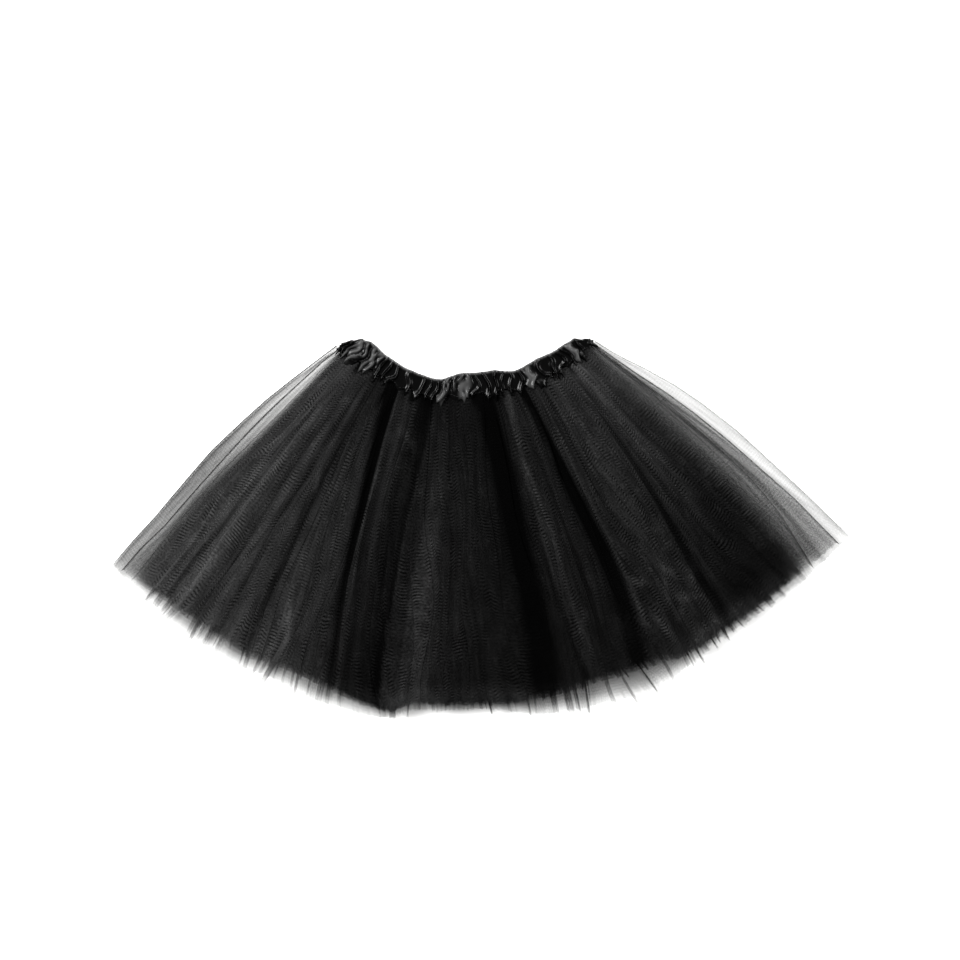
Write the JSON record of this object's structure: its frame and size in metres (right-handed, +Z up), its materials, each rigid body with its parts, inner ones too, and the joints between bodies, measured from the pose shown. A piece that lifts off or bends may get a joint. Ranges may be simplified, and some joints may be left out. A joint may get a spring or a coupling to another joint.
{
  "type": "ballet tutu",
  "caption": "Child's black tulle ballet tutu with a gathered satin waistband, lying flat and fanned out on its back, front panel up.",
  "frame": {"origin": "middle of the garment's bounding box, on the surface that it lies on", "axes": "+Z up off the surface, through the back panel and then the front one; +Y from the hem towards the waistband; +X across the skirt, to the right as its front is looked at from above"},
  "size_m": [0.6608, 0.3416, 0.0203],
  "materials": {
    "satin": "glossy gathered polyester satin, black",
    "tulle": "sheer matt nylon tulle, black"
  },
  "bodies": {
    "root": {"waistband": "satin", "tulle_outer": "tulle", "tulle_middle": "tulle", "tulle_inner": "tulle"}
  },
  "joints": []
}
